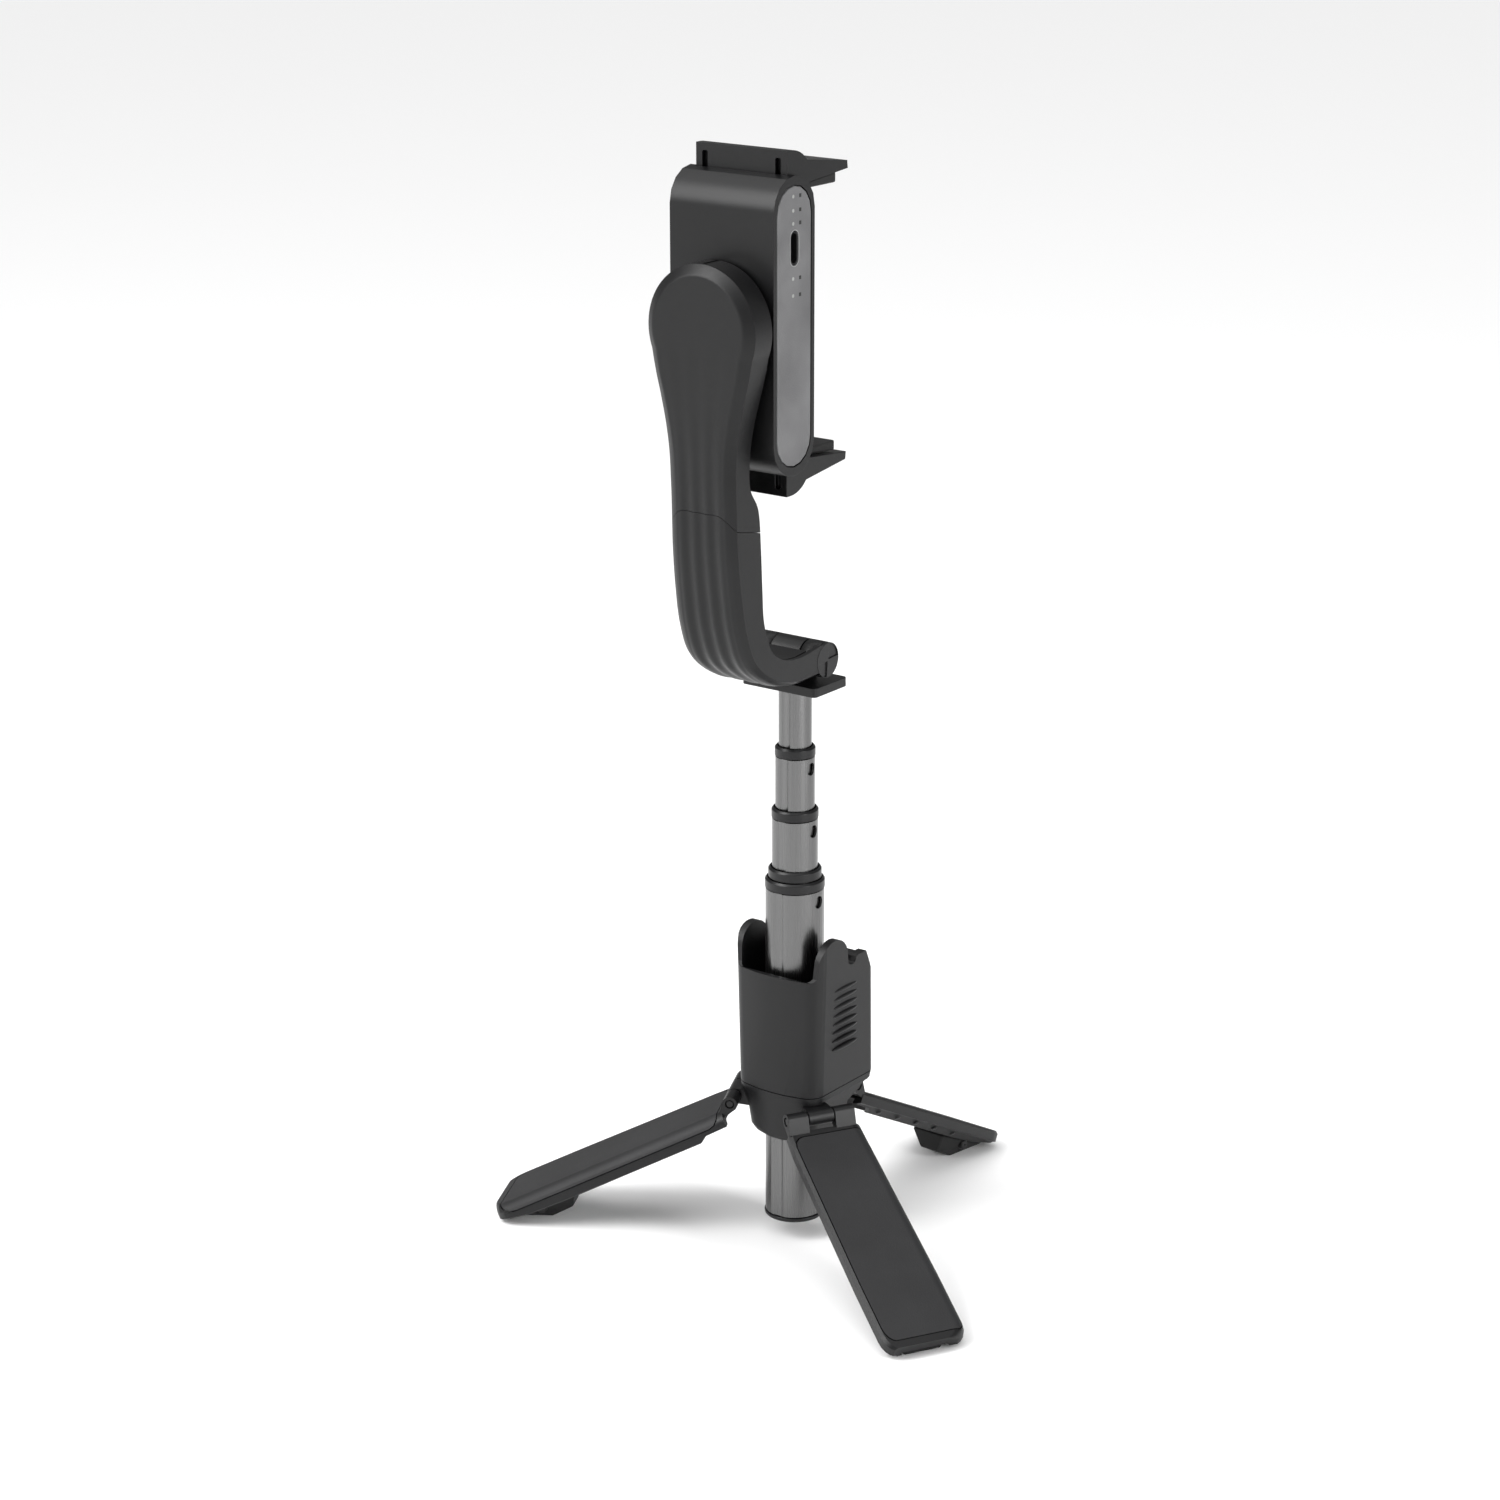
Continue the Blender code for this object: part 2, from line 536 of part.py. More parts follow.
def make_arm(tilt, plastic, dark, steel, magnet):
    neck = smooth_path(ARM_KEYS, 2)
    upper = head_rows() + [(-45.3, 267.6, -36.0, 267.6, 15.7)]
    upper += [row for row in neck if row[1] > ARM_SEAM_Z + 1.0]
    lower = [row for row in neck if row[1] < ARM_SEAM_Z - 0.5 or row[3] < ARM_SEAM_Z - 0.5]
    seam = (-44.55, ARM_SEAM_Z, -32.6, ARM_SEAM_Z, 11.1)
    above = tuple(v + (GAP / 2.0 if i in (1, 3) else 0.0) for i, v in enumerate(seam))
    below = tuple(v - (GAP / 2.0 if i in (1, 3) else 0.0) for i, v in enumerate(seam))
    solid("arm_upper_shell", loft([arm_section(row, False) for row in upper + [above]]), plastic, tilt)
    shell = solid("arm_lower_shell", loft([arm_section(row, False) for row in [below] + lower]),
                  plastic, tilt)
    for name, low, high in (("right", KNUCKLE_HALF, BARREL_HALF - 0.9), ("left", 0.9 - BARREL_HALF, -KNUCKLE_HALF)):
        join(shell, prism(circle(BARREL_RADIUS, 28), "X", low, high), f"barrel_{name}")
    room = arc((0.0, 0.0), BARREL_RADIUS + 0.5, 0.0, 180.0, 14) + [(-5.65, -12.0), (5.65, -12.0)]
    cut(shell, prism(room, "X", -KNUCKLE_HALF - GAP, KNUCKLE_HALF + GAP), "knuckle_room")
    for name, side in (("right", 1), ("left", -1)):
        seat = sorted((side * (BARREL_HALF - 0.9 - GAP), side * (BARREL_HALF + 2.0)))
        cut(shell, prism(circle(BARREL_RADIUS + GAP, 28), "X", *seat), f"cap_seat_{name}")
    cut(shell, prism(circle(1.8, 16), "X", -14.0, 14.0), "barrel_bore")
    cover_rows = [row for row in neck if row[1] < 258.0][:-1]
    cover = solid("arm_cover", loft([arm_section(row, True) for row in cover_rows]), plastic, tilt)
    cut(cover, prism(circle(BARREL_RADIUS + 0.6, 28), "X", -14.0, 14.0), "cover_end")
    for name, side in (("right", 1), ("left", -1)):
        face = sorted((side * (BARREL_HALF - 0.9), side * BARREL_HALF))
        cap = solid(f"barrel_cap_{name}", prism(circle(BARREL_RADIUS, 28), "X", *face), dark, tilt)
        for start in (0.0, 180.0):
            wedge = [(0.0, 0.0)] + arc((0.0, 0.0), 4.6, start + 4.0, start + 86.0, 6)
            place = sorted((side * (BARREL_HALF - 0.4), side * (BARREL_HALF + 1.0)))
            centre = [(a + 0.35 * math.cos(math.radians(start + 45.0)),
                       b + 0.35 * math.sin(math.radians(start + 45.0))) for a, b in wedge]
            cut(cap, prism(centre, "X", *place), f"cap_mark_{name}_{int(start)}")
    make_motor(tilt, plastic, dark, steel, magnet)


def arm_turned(name, profile, look, tilt, steps=36):
    """A piece turned about the motor axis, made in the arm's frame."""
    moved = [(radius, y - TILT_AXIS[0]) for radius, y in profile]
    return solid(name, turned(moved, "Y", steps, centre=(0.0, ROLL_Z - TILT_AXIS[1])), look, tilt)


def make_motor(tilt, plastic, dark, steel, magnet):
    """The fixed half of the motor, inside the round head of the arm."""
    arm_turned("motor_stator", [(4.5, -43.0), (12.0, -43.0), (12.0, -39.2), (4.5, -39.2)], magnet, tilt)
    arm_turned("motor_bearing", [(3.3, -42.6), (4.2, -42.6), (4.2, -39.4), (3.3, -39.4)], steel, tilt)
    arm_turned("motor_cover", [(4.4, -37.2), (15.9, -37.2), (15.9, HEAD_FRONT_Y), (4.4, HEAD_FRONT_Y)],
               dark, tilt)


# ---------------------------------------------------------------- clamp

def make_case(roll, plastic, panel_look, dark):
    case = solid("case_shell", prism(stadium(CASE_HALF_Y, CASE_HALF_Z), "X", -CASE_HALF_X, CASE_HALF_X),
                 plastic, roll)
    inside_y = CASE_HALF_Y - CASE_WALL
    inside_z = POCKET_FLOOR - CASE_WALL
    cavity = rounded_box(inside_y, inside_z, 1.0, 2)
    cut(case, prism(cavity, "X", -15.4, 15.4), "case_cavity")
    opening = rounded_box(15.1 + GAP, 26.5 + GAP, 1.0, 2)
    cut(case, prism(opening, "Y", 5.0, 12.0), "case_opening")
    for name, side in (("top", 1), ("bottom", -1)):
        pocket = [(-0.6, side * POCKET_FLOOR), (-0.6, side * 50.0), (12.0, side * 50.0),
                  (12.0, side * POCKET_FLOOR)]
        cut(case, prism(pocket, "X", -POCKET_HALF_X, POCKET_HALF_X), f"jaw_pocket_{name}")
        slot = [(-0.6, side * 25.0), (-0.6, side * 31.0), (2.4, side * 31.0), (2.4, side * 25.0)]
        cut(case, prism(slot, "X", *sorted((side * 4.1, side * 12.7))), f"jaw_slot_{name}")
    cut(case, prism(circle(3.3, 20), "Y", -12.0, -5.0), "shaft_hole")
    recess = stadium(7.7 + GAP, 38.2 + GAP)
    for name, side in (("right", 1), ("left", -1)):
        deep = sorted((side * (CASE_HALF_X - 1.1), side * (CASE_HALF_X + 1.0)))
        cut(case, prism(recess, "X", *deep), f"panel_recess_{name}")
        face = sorted((side * (CASE_HALF_X - 0.8), side * CASE_HALF_X))
        panel = solid(f"end_panel_{name}", prism(stadium(7.7, 38.2), "X", *face), panel_look, roll)
        if name == "left":
            cut(panel, prism(circle(3.3, 20, (0.0, BUTTON_Z)), "X", -20.0, -15.0), "button_hole")
            cut(case, prism(circle(1.6, 12, (0.0, BUTTON_Z)), "X", -18.0, -14.0), "button_stem_hole")
        else:
            slot = [(y, z + PORT_Z) for y, z in stadium(1.9, 4.8)]
            cut(panel, prism(slot, "X", 15.0, 20.0), "port_slot")
            cut(case, prism(slot, "X", 14.0, 20.0), "port_slot_case")
    cover = rounded_box(15.1, 26.5, 0.8, 2)
    solid("case_cover", prism(cover, "Y", CASE_HALF_Y - 1.5, CASE_HALF_Y), plastic, roll)
    port = [(y, z + PORT_Z) for y, z in stadium(1.6, 4.5)]
    hollow = [(y, z + PORT_Z) for y, z in stadium(1.3, 4.2)]
    socket = solid("charge_port", prism(port, "X", 13.2, 17.2), dark, roll)
    cut(socket, prism(hollow, "X", 14.2, 19.0), "port_mouth")


PORT_Z = 21.5
BUTTON_Z = 12.0


def make_clamp_inside(roll, steel, board_look, battery_look, magnet):
    back = -CASE_HALF_Y
    gap_y = HEAD_FRONT_Y - CASE_MID_Y
    shaft = [(0.6, -43.4 - CASE_MID_Y), (3.0, -43.4 - CASE_MID_Y), (3.0, back + CASE_WALL + GAP),
             (8.0, back + CASE_WALL + GAP), (8.0, back + CASE_WALL + 1.6), (0.6, back + CASE_WALL + 1.6)]
    solid("motor_shaft", turned(shaft, "Y", 24), steel, roll)
    bell = [(3.3, gap_y - 2.6), (13.6, gap_y - 2.6), (13.6, gap_y - 6.8), (12.5, gap_y - 6.8),
            (12.5, gap_y - 3.2), (3.3, gap_y - 3.2)]
    solid("motor_rotor", turned([(r, y) for r, y in bell], "Y", 36), magnet, roll)
    plate = solid("rack_plate", prism(rounded_box(15.0, 26.6, 0.8, 2), "Y", -2.2, -0.6), steel, roll)
    join(plate, prism(circle(1.3, 16), "Y", -1.0, 2.3), "pinion_axle")
    notch = [(12.9, PORT_Z - 5.0), (16.0, PORT_Z - 5.0), (16.0, 30.0), (12.9, 30.0)]
    cut(plate, prism(notch, "Y", -3.0, 0.0), "port_notch")
    solid("control_board", prism(rounded_box(14.6, 26.4, 0.6, 2), "Y", -5.2, -4.0), board_look, roll)
    solid("battery", prism(rounded_box(14.4, 26.0, 1.2, 3), "Y", 3.0, 7.4), battery_look, roll)


def pinion_outline():
    tip, root = PINION_PITCH + 0.6, PINION_PITCH - 1.0
    outline = []
    for tooth in range(PINION_TEETH):
        middle = 360.0 * tooth / PINION_TEETH
        for radius, offset in ((root, -9.0), (tip, -4.0), (tip, 4.0), (root, 9.0)):
            turn = math.radians(middle + offset)
            outline.append((radius * math.cos(turn), radius * math.sin(turn)))
    return outline


def rack_outline(low, high):
    """A straight rack beside the pinion at +X, as (X, Z) points, with its teeth facing the pinion."""
    tip, root, back = PINION_PITCH - 0.55, PINION_PITCH + 1.05, 12.4
    pitch = 2.0 * math.pi * PINION_PITCH / PINION_TEETH
    outline = [(back, low), (back, high), (root, high)]
    count = int(high // pitch)
    for index in range(count, -99, -1):
        middle = (index + 0.5) * pitch
        if middle > high - 1.2:
            continue
        if middle < low + 1.2:
            break
        outline += [(root, middle + 0.75), (tip, middle + 0.35), (tip, middle - 0.35), (root, middle - 0.75)]
    return outline + [(root, low)]


def jaw_outline():
    """Side of the upper jaw as (Y, Z): an upright plate, a round shoulder and a tapering finger."""
    shoulder = arc((1.6, 37.4), 9.8, 90.0, 42.0, 6)
    return ([(-0.3, 35.6), (-0.3, JAW_TOP)] + shoulder
            + [(11.6, 43.6), (27.6, 41.6), (27.9, 39.4), (10.0, 37.9), (9.5, 35.6)])


def make_jaw(name, sign, roll, plastic, rubber):
    """Both jaws share one shape: the lower one is the upper turned half a turn about the motor axis."""
    slide = empty(f"jaw_{name}_slide", (0.0, 0.0, 0.0), roll, (0.0, 0.0 if sign > 0 else 180.0, 0.0))
    jaw = solid(f"jaw_{name}", prism(jaw_outline(), "X", -JAW_HALF_X, JAW_HALF_X), plastic, slide)
    join(jaw, prism(rack_outline(-RACK_END, 36.4), "Y", 0.0, 2.1), f"rack_{name}")
    for side in (-1, 1):
        groove = rounded_box(0.95, 4.6, 0.4, 1, centre=(side * 12.2, 40.6))
        cut(jaw, prism(groove, "Y", -2.0, 1.1), f"jaw_groove_{name}_{side + 2}")
    pad = [(10.1, GRIP_HALF), (24.6, GRIP_HALF), (24.6, 38.7), (10.1, 37.5)]
    solid(f"jaw_pad_{name}", prism(pad, "X", -13.6, 13.6), rubber, slide)


def make_clamp(roll, plastic, panel_look, dark, steel, board, cell, rubber, magnet):
    make_case(roll, plastic, panel_look, dark)
    make_clamp_inside(roll, steel, board, cell, magnet)
    for name, sign in (("upper", 1), ("lower", -1)):
        make_jaw(name, sign, roll, plastic, rubber)
    spin = empty("pinion_spin", (0.0, 0.0, 0.0), roll)
    gear = solid("jaw_pinion", prism(pinion_outline(), "Y", 0.0, 2.1), steel, spin)
    cut(gear, prism(circle(1.6, 16), "Y", -1.0, 3.0), "pinion_bore")
    press = empty("power_button_travel", (-CASE_HALF_X, 0.0, BUTTON_Z), roll)
    button = solid("power_button", prism(circle(3.0, 20), "X", -0.6, 0.5), dark, press)
    join(button, prism(circle(1.3, 12), "X", 0.3, 1.6), "button_stem")


# ---------------------------------------------------------------- assembly

def main():
    for item in list(bpy.data.objects):
        bpy.data.objects.remove(item)
    plastic = material("black_abs", (0.028, 0.028, 0.029), 0.5)
    dark = material("black_polyamide", (0.018, 0.018, 0.018), 0.45)
    panel_grey = material("grey_panel", (0.17, 0.17, 0.175), 0.5)
    leg_grey = material("textured_panel", (0.06, 0.06, 0.06), 0.7)
    rubber = material("black_rubber", (0.02, 0.02, 0.02), 0.85)
    tube_metal = material("anodised_aluminium", (0.16, 0.16, 0.165), 0.32, 1.0)
    steel = material("steel", (0.5, 0.5, 0.5), 0.35, 1.0)
    magnet = material("motor_metal", (0.35, 0.3, 0.25), 0.4, 1.0)
    board = material("circuit_board", (0.02, 0.12, 0.05), 0.5)
    cell = material("battery_wrap", (0.1, 0.12, 0.3), 0.4)

    stand = empty("stand", (0.0, COLUMN_Y, 0.0))
    make_sleeve(stand, plastic, dark)
    make_remote(stand, plastic, dark)
    make_hub(stand, plastic, steel)
    for index, angle in enumerate(LEG_ANGLES, 1):
        make_leg(index, angle, stand, plastic, leg_grey, rubber)
    top_slide = make_column(stand, tube_metal, dark)
    make_platform(top_slide, plastic, steel)
    tilt = empty("arm_tilt", (0.0, *TILT_AXIS), top_slide)
    make_arm(tilt, plastic, dark, steel, magnet)
    roll = empty("clamp_roll", (0.0, CASE_MID_Y - TILT_AXIS[0], ROLL_Z - TILT_AXIS[1]), tilt)
    make_clamp(roll, plastic, panel_grey, dark, steel, board, cell, rubber, magnet)


main()
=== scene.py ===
"""A phone gimbal: a motor clamp on a tilting arm, a telescopic column, and a folding tripod grip."""

import json
import math

import bmesh
import bpy
from mathutils import Matrix, Vector


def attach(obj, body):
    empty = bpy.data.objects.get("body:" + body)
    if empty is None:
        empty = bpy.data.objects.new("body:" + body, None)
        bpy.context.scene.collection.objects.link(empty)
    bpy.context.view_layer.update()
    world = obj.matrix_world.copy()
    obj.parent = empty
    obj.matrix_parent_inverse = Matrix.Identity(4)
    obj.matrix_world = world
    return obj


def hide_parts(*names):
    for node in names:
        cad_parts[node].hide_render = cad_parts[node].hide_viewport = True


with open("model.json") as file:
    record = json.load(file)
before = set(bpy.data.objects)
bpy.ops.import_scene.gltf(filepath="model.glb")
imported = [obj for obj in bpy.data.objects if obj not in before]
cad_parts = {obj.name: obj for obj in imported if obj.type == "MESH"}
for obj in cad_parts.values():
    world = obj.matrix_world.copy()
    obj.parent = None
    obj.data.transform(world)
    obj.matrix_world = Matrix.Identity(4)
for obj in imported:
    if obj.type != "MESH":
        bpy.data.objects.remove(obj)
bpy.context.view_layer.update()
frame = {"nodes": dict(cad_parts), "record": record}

# ---------------------------------------------------------------- camera, light and floor
# A long lens from above the gimbal's back right, a big soft key over the left shoulder, and a
# pale floor that the three feet stand on.

MM = 0.001
COLUMN_Y = -18.6                   # the column's axis, behind the middle of the object


def place(x, y, z):
    """A point in metres from millimetres measured from the column's axis."""
    return Vector((x, y + COLUMN_Y, z)) * MM


view_from = Vector((585.3, -833.95, 468.4)) * MM
looking = Vector((-0.5561, 0.7746, -0.3014)).normalized()
across = looking.cross(Vector((-0.1773, 0.2437, 0.9535))).normalized()
upward = across.cross(looking)
camera = bpy.data.objects.new("camera", bpy.data.cameras.new("camera"))
camera.matrix_world = Matrix.Translation(view_from) @ Matrix(
    (across, upward, -looking)).transposed().to_4x4()
camera.data.sensor_width = 36.0
camera.data.lens = 87.8
camera.data.shift_x = -0.03
camera.data.clip_start = 0.05
bpy.context.scene.collection.objects.link(camera)
bpy.context.scene.camera = camera


def soft_box(name, position, aim, width, height, power):
    data = bpy.data.lights.new(name, "AREA")
    data.shape = "RECTANGLE"
    data.size, data.size_y, data.energy = width, height, power
    lamp = bpy.data.objects.new(name, data)
    lamp.location = position
    lamp.rotation_euler = (Vector(aim) - Vector(position)).to_track_quat("-Z", "Y").to_euler()
    bpy.context.scene.collection.objects.link(lamp)


soft_box("key_softbox", (-0.6, -1.0, 0.95), (0.0, 0.0, 0.17), 0.55, 1.1, 19.0)
soft_box("side_softbox", (1.4, -0.15, 0.55), (0.0, 0.0, 0.15), 0.3, 1.1, 16.0)

# A bank of ceiling panels, as one broad even light, keeps the whole floor white.
ceiling = bpy.data.objects.new("ceiling_panels", bpy.data.lights.new("ceiling_panels", "SUN"))
ceiling.data.energy, ceiling.data.angle = 2.3, math.radians(80.0)
ceiling.rotation_euler = (math.radians(12.0), math.radians(-8.0), 0.0)
bpy.context.scene.collection.objects.link(ceiling)


def linear(code):
    """The linear colour of an sRGB hex code."""
    parts = [int(code[i:i + 2], 16) / 255.0 for i in (1, 3, 5)]
    return tuple(c / 12.92 if c <= 0.04045 else ((c + 0.055) / 1.055) ** 2.4 for c in parts) + (1.0,)


def new_material(name):
    """A material with only its Principled shader and output, and its tree."""
    made = bpy.data.materials.new(name)
    made.use_nodes = True
    return made, made.node_tree, made.node_tree.nodes["Principled BSDF"]


def add_node(tree, kind, settings=None, values=None, **links):
    """Adds a node with its settings, its input values, and the sockets that feed its inputs."""
    node = tree.nodes.new(kind)
    for key, value in (settings or {}).items():
        setattr(node, key, value)
    for key, value in (values or {}).items():
        node.inputs[key].default_value = value
    for key, socket in links.items():
        tree.links.new(socket, node.inputs[key.replace("_", " ")])
    return node


# The backdrop is white to the camera, and gives the gimbal only a low, even light.
FILL_STRENGTH = 0.24
BACKDROP_STRENGTH = 0.96
studio = bpy.data.worlds.new("studio")
studio.use_nodes = True
backdrop = studio.node_tree.nodes["Background"]
backdrop.inputs["Color"].default_value = (1.0, 1.0, 1.0, 1.0)
seen = add_node(studio.node_tree, "ShaderNodeLightPath")
level = add_node(studio.node_tree, "ShaderNodeMapRange",
                 values={"To Min": FILL_STRENGTH, "To Max": BACKDROP_STRENGTH},
                 Value=seen.outputs["Is Camera Ray"])
studio.node_tree.links.new(level.outputs["Result"], backdrop.inputs["Strength"])
bpy.context.scene.world = studio
bpy.context.scene.view_settings.view_transform = "Standard"

# The floor is plain matt paper.
paper, tree, shader = new_material("matt_paper")
shader.inputs["Base Color"].default_value = linear("#f7f7f7")
shader.inputs["Roughness"].default_value = 0.9
floor_mesh = bpy.data.meshes.new("floor")
floor_mesh.from_pydata([(-9, -9, 0), (9, -9, 0), (9, 9, 0), (-9, 9, 0)], [], [(0, 1, 2, 3)])
floor_mesh.materials.append(paper)
floor = bpy.data.objects.new("floor", floor_mesh)
bpy.context.scene.collection.objects.link(floor)

# ---------------------------------------------------------------- grip sleeve and hub
# The grip and the hub under it are ABS mouldings with a spark-eroded matt skin: near black, with
# a broad soft sheen. The grip is screwed to the hub, and its sides carry finger ribs.


def moulded_plastic(name, light, dark, roughness, grain_mm, depth, sheen=0.0):
    """Moulded plastic: a fine eroded grain in the surface, and a slow drift in tone and gloss."""
    made, tree, shader = new_material(name)
    where = add_node(tree, "ShaderNodeTexCoord").outputs["Object"]
    drift = add_node(tree, "ShaderNodeTexNoise", values={"Scale": 45.0, "Detail": 3.0}, Vector=where)
    tone = add_node(tree, "ShaderNodeValToRGB", Fac=drift.outputs["Fac"])
    tone.color_ramp.elements[0].position, tone.color_ramp.elements[1].position = 0.35, 0.65
    tone.color_ramp.elements[0].color, tone.color_ramp.elements[1].color = linear(dark), linear(light)
    grain = add_node(tree, "ShaderNodeTexNoise", values={"Scale": 1000.0 / grain_mm, "Detail": 2.0},
                     Vector=where)
    gloss = add_node(tree, "ShaderNodeMapRange", values={"To Min": roughness - 0.05,
                                                         "To Max": roughness + 0.06},
                     Value=grain.outputs["Fac"])
    bump = add_node(tree, "ShaderNodeBump", values={"Strength": depth, "Distance": 0.00006},
                    Height=grain.outputs["Fac"])
    tree.links.new(tone.outputs["Color"], shader.inputs["Base Color"])
    tree.links.new(gloss.outputs["Result"], shader.inputs["Roughness"])
    tree.links.new(bump.outputs["Normal"], shader.inputs["Normal"])
    shader.inputs["IOR"].default_value = 1.45
    shader.inputs["Specular IOR Level"].default_value = 0.36
    shader.inputs["Sheen Weight"].default_value = sheen
    return made


# Spark-eroded ABS: the grain is 0.3 mm, coarser than the real 0.1 mm so that it shows.
eroded_abs = moulded_plastic("spark_eroded_abs", "#0f0f10", "#0c0c0d", 0.42, 0.3, 0.35)


def link_piece(name, mesh, body, slot, *nodes):
    """Puts a finished mesh into the scene, on its body, in place of the nodes that it stands for."""
    piece = bpy.data.objects.new(name, mesh)
    bpy.context.scene.collection.objects.link(piece)
    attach(piece, body)
    if nodes:
        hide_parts(*nodes)
    return piece


def body_of_node(node):
    return next(b for b, members in frame["record"]["behaviour"]["bodies"].items() if node in members)


def eased(node, look, slot, radius=0.4, crease=32.0, segments=2):
    """A moulded piece from its frame solid: whole faces, with every hard edge rounded off."""
    mesh = frame["nodes"][node].data.copy()
    work = bmesh.new()
    work.from_mesh(mesh)
    bmesh.ops.remove_doubles(work, verts=work.verts, dist=2e-6)
    bmesh.ops.dissolve_limit(work, angle_limit=math.radians(0.4), verts=work.verts, edges=work.edges)
    work.to_mesh(mesh)
    work.free()
    mesh.materials.clear()
    mesh.materials.append(look)
    mesh.shade_smooth()
    mesh.set_sharp_from_angle(angle=math.radians(crease))
    piece = link_piece(node + "_finish", mesh, body_of_node(node), slot, node)
    if radius:
        round_off = piece.modifiers.new("eased_edges", "BEVEL")
        round_off.width = radius * MM
        round_off.segments = segments
        round_off.limit_method = "ANGLE"
        round_off.angle_limit = math.radians(crease)
        round_off.harden_normals = True
        round_off.miter_outer = "MITER_ARC"
        level_faces = piece.modifiers.new("level_faces", "WEIGHTED_NORMAL")
        level_faces.mode = "FACE_AREA"
        level_faces.keep_sharp = True
    return piece


eased("sleeve_shell", eroded_abs, "black_abs", 0.5)
eased("hub_shell", eroded_abs, "black_abs", 0.4)


def turned(name, profile, centre, axis, look, slot, body, steps=72, where=None):
    """A round piece turned about an axis through centre, from (radius, position) pairs in mm."""
    work = bmesh.new()
    rings = []
    for step in range(steps):
        turn = 2.0 * math.pi * step / steps
        side = (math.cos(turn), math.sin(turn))
        ring = []
        for radius, along in profile:
            point = {"X": (along, radius * side[0], radius * side[1]),
                     "Y": (radius * side[0], along, radius * side[1]),
                     "Z": (radius * side[0], radius * side[1], along)}[axis]
            ring.append(work.verts.new(centre + Vector(point) * MM))
        rings.append(ring)
    for ring, after in zip(rings, rings[1:] + rings[:1]):
        for i in range(len(profile)):
            j = (i + 1) % len(profile)
            work.faces.new((ring[i], ring[j], after[j], after[i]))
    bmesh.ops.recalc_face_normals(work, faces=work.faces)
    mesh = bpy.data.meshes.new(name)
    work.to_mesh(mesh)
    work.free()
    if where:
        mesh.transform(where)
    mesh.materials.append(look)
    mesh.shade_smooth()
    mesh.set_sharp_from_angle(angle=math.radians(40.0))
    return link_piece(name, mesh, body, slot)


# Finger ribs on both cheeks of the grip: a short ladder of half-round bars, made by a node tree.
def repeated_bars(name, look, start, step, count, size, body, slot, tilt=0.0, where=None):
    """A row of rounded bars: each is a flattened sphere-ended block, set along a line."""
    group = bpy.data.node_groups.new(name, "GeometryNodeTree")
    group.is_modifier = True
    group.interface.new_socket("Geometry", in_out="OUTPUT", socket_type="NodeSocketGeometry")
    inputs = {}
    for label, kind, value in (("Start", "NodeSocketVector", start), ("Step", "NodeSocketVector", step),
                               ("Bar size", "NodeSocketVector", size), ("Count", "NodeSocketInt", count),
                               ("Turn", "NodeSocketVector", (tilt, 0.0, 0.0))):
        socket = group.interface.new_socket(label, in_out="INPUT", socket_type=kind)
        inputs[label] = (socket.identifier, value)
    feed = group.nodes.new("NodeGroupInput")
    line = add_node(group, "GeometryNodeMeshLine", {"mode": "OFFSET"}, Count=feed.outputs["Count"],
                    Start_Location=feed.outputs["Start"], Offset=feed.outputs["Step"])
    ball = add_node(group, "GeometryNodeMeshUVSphere", values={"Segments": 24, "Rings": 12, "Radius": 1.0})
    shaped = add_node(group, "GeometryNodeTransform", Geometry=ball.outputs["Mesh"],
                      Scale=feed.outputs["Bar size"], Rotation=feed.outputs["Turn"])
    placed = add_node(group, "GeometryNodeInstanceOnPoints", Points=line.outputs["Mesh"],
                      Instance=shaped.outputs["Geometry"])
    real = add_node(group, "GeometryNodeRealizeInstances", Geometry=placed.outputs["Instances"])
    smooth = add_node(group, "GeometryNodeSetShadeSmooth", Geometry=real.outputs["Geometry"])
    finish = add_node(group, "GeometryNodeSetMaterial", values={"Material": look},
                      Geometry=smooth.outputs["Geometry"])
    end = group.nodes.new("NodeGroupOutput")
    group.links.new(finish.outputs["Geometry"], end.inputs["Geometry"])
    seed = bpy.data.objects.new(name + "_seed", bpy.data.meshes.new(name + "_seed"))
    bpy.context.scene.collection.objects.link(seed)
    grow = seed.modifiers.new(name, "NODES")
    grow.node_group = group
    for identifier, value in inputs.values():
        grow[identifier] = value
    bpy.context.view_layer.update()
    shown = seed.evaluated_get(bpy.context.evaluated_depsgraph_get())
    mesh = bpy.data.meshes.new_from_object(shown)
    bpy.data.objects.remove(seed)
    mesh.name = name
    if where:
        mesh.transform(where)
    return link_piece(name, mesh, body, slot)


RIB_PITCH = 0.0026
RIB_SIZE = (0.0008, 0.0062, 0.00075)
for side, cheek in ((1, "right"), (-1, "left")):
    repeated_bars(f"finger_ribs_{cheek}", eroded_abs, place(side * 14.9, 4.5, 62.0),
                  (0.0, 0.0, RIB_PITCH), 8, RIB_SIZE, "stand", "black_abs")

# ---------------------------------------------------------------- shutter remote
# A small ABS remote is stored in the front of the grip, with one round rubber key.
plain_abs = moulded_plastic("polished_abs", "#121213", "#0f0f10", 0.3, 0.6, 0.12)
soft_rubber = moulded_plastic("moulded_rubber", "#1b1b1b", "#161616", 0.75, 0.25, 0.4, sheen=0.05)
eased("remote_body", plain_abs, "black_abs", 0.5)
eased("remote_button", soft_rubber, "black_polyamide", 0.3)

